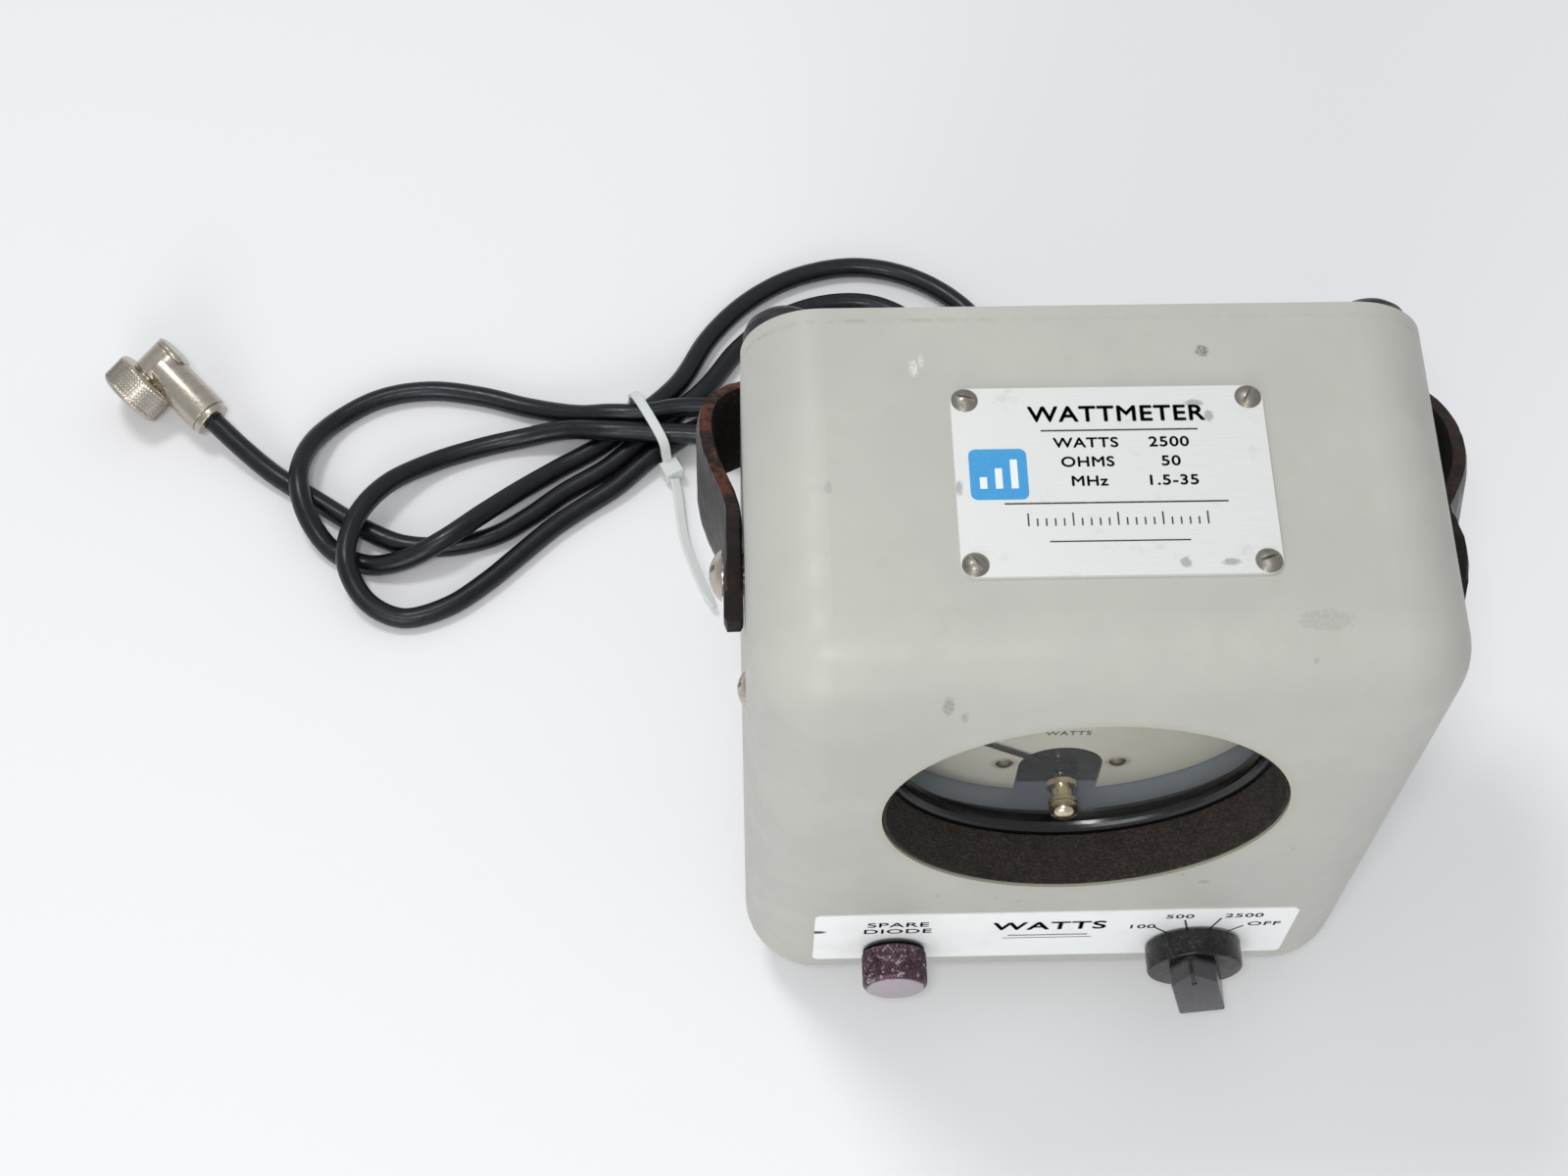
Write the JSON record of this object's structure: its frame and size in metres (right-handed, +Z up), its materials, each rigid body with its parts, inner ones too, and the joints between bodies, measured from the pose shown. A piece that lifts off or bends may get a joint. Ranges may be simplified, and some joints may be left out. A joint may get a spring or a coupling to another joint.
{
  "type": "rf power meter",
  "caption": "Bench box of a through-line radio power meter with a recessed dial, range knob, screw-capped diode well, leather carrying strap and a coiled coaxial lead with an elbow plug",
  "frame": {"origin": "on the surface the box stands on, at the middle of the width and depth of the box with its strap and controls, leaving out the lead and its plug", "axes": "+X to the right of someone facing the dial, +Y from the dial to the back cover, +Z up; the box stands on its base feet, strap hanging behind it"},
  "size_m": [0.2984, 0.2094, 0.1536],
  "materials": {
    "paint": "satin",
    "steel": "satin",
    "rubber": "matte",
    "aluminium": "satin",
    "leather": "satin",
    "felt": "matte",
    "black": "gloss",
    "glass": "gloss",
    "dial": "matte",
    "iron": "satin",
    "copper": "satin",
    "brass": "satin",
    "board": "satin",
    "ceramic": "satin",
    "pvc": "satin",
    "nylon": "satin",
    "nickel": "satin"
  },
  "bodies": {
    "case": {"housing": "paint", "back_cover": "paint", "cover_screws": "steel", "back_feet": "rubber", "base_feet": "rubber", "nameplate": "aluminium", "nameplate_screws": "steel", "front_strip": "aluminium", "strap_bushes": "steel", "strap_screws": "nickel", "side_screws": "steel", "shock_ring": "felt", "meter_bezel": "black", "meter_glass": "glass", "meter_case": "black", "meter_frame": "steel", "frame_screws": "steel", "dial_plate": "dial", "dial_screws": "brass", "magnet_yoke": "iron", "magnet_core": "iron", "front_bridge": "black", "rear_bridge": "black", "hairsprings": "brass", "meter_studs": "brass", "circuit_board": "board", "stud_nuts": "brass", "trimmers": "black", "resistors": "ceramic", "capacitor": "ceramic", "inner_leads": "pvc", "switch_body": "steel", "switch_nut": "steel", "switch_wafer": "board", "spare_diode": "ceramic", "diode_well": "aluminium", "well_nut": "steel", "lead_gland": "rubber", "meter_lead": "pvc", "zip_tie": "nylon", "plug_body": "nickel", "plug_cap": "nickel", "plug_clamp": "nickel", "plug_insulator": "nylon", "plug_pin": "brass"},
    "selector": {"range_knob": "black", "knob_set_screw": "steel", "switch_shaft": "steel", "switch_rotor": "brass"},
    "movement": {"coil_frame": "copper", "pointer": "aluminium"},
    "corrector": {"zero_adjuster": "brass"},
    "cap_seal": {"cap_washer": "rubber"},
    "cap": {"diode_cap": "aluminium"},
    "handle": {"strap": "leather"},
    "plug_nut": {"coupling_nut": "nickel"}
  },
  "joints": [
    {"name": "range_select", "type": "hinge", "parent": "case", "child": "selector", "pos_m": [0.0292, -0.045, 0.0255], "axis": [0, 1, 0], "range_deg": [-30, 60]},
    {"name": "pointer_swing", "type": "hinge", "parent": "case", "child": "movement", "pos_m": [-0.0026, -0.01, 0.071], "axis": [0, 1, 0], "range_deg": [0, 100], "stiffness_Nm_per_rad": 0.000002},
    {"name": "zero_adjust", "type": "hinge", "parent": "case", "child": "corrector", "pos_m": [-0.0026, -0.024, 0.0697], "axis": [0, 1, 0], "range_deg": [-90, 90]},
    {"name": "cap_turn", "type": "hinge", "parent": "case", "child": "cap_seal", "pos_m": [-0.0353, -0.041, 0.0255], "axis": [0, 1, 0], "range_deg": [0, 1800]},
    {"name": "cap_travel", "type": "slide", "parent": "cap_seal", "child": "cap", "axis": [0, -1, 0], "range_m": [0, 0.005]},
    {"name": "strap_swing", "type": "hinge", "parent": "case", "child": "handle", "pos_m": [-0.0018, -0.002, 0.1245], "axis": [1, 0, 0], "range_deg": [0, 205]},
    {"name": "nut_spin", "type": "hinge", "parent": "case", "child": "plug_nut", "pos_m": [-0.2093, 0.12, 0.01191], "axis": [-0.7152, -0.596, -0.365], "continuous": true}
  ],
  "couplings": [
    {"joint": "cap_turn", "follows": "cap_travel", "rad_per_m": 6283.2}
  ]
}
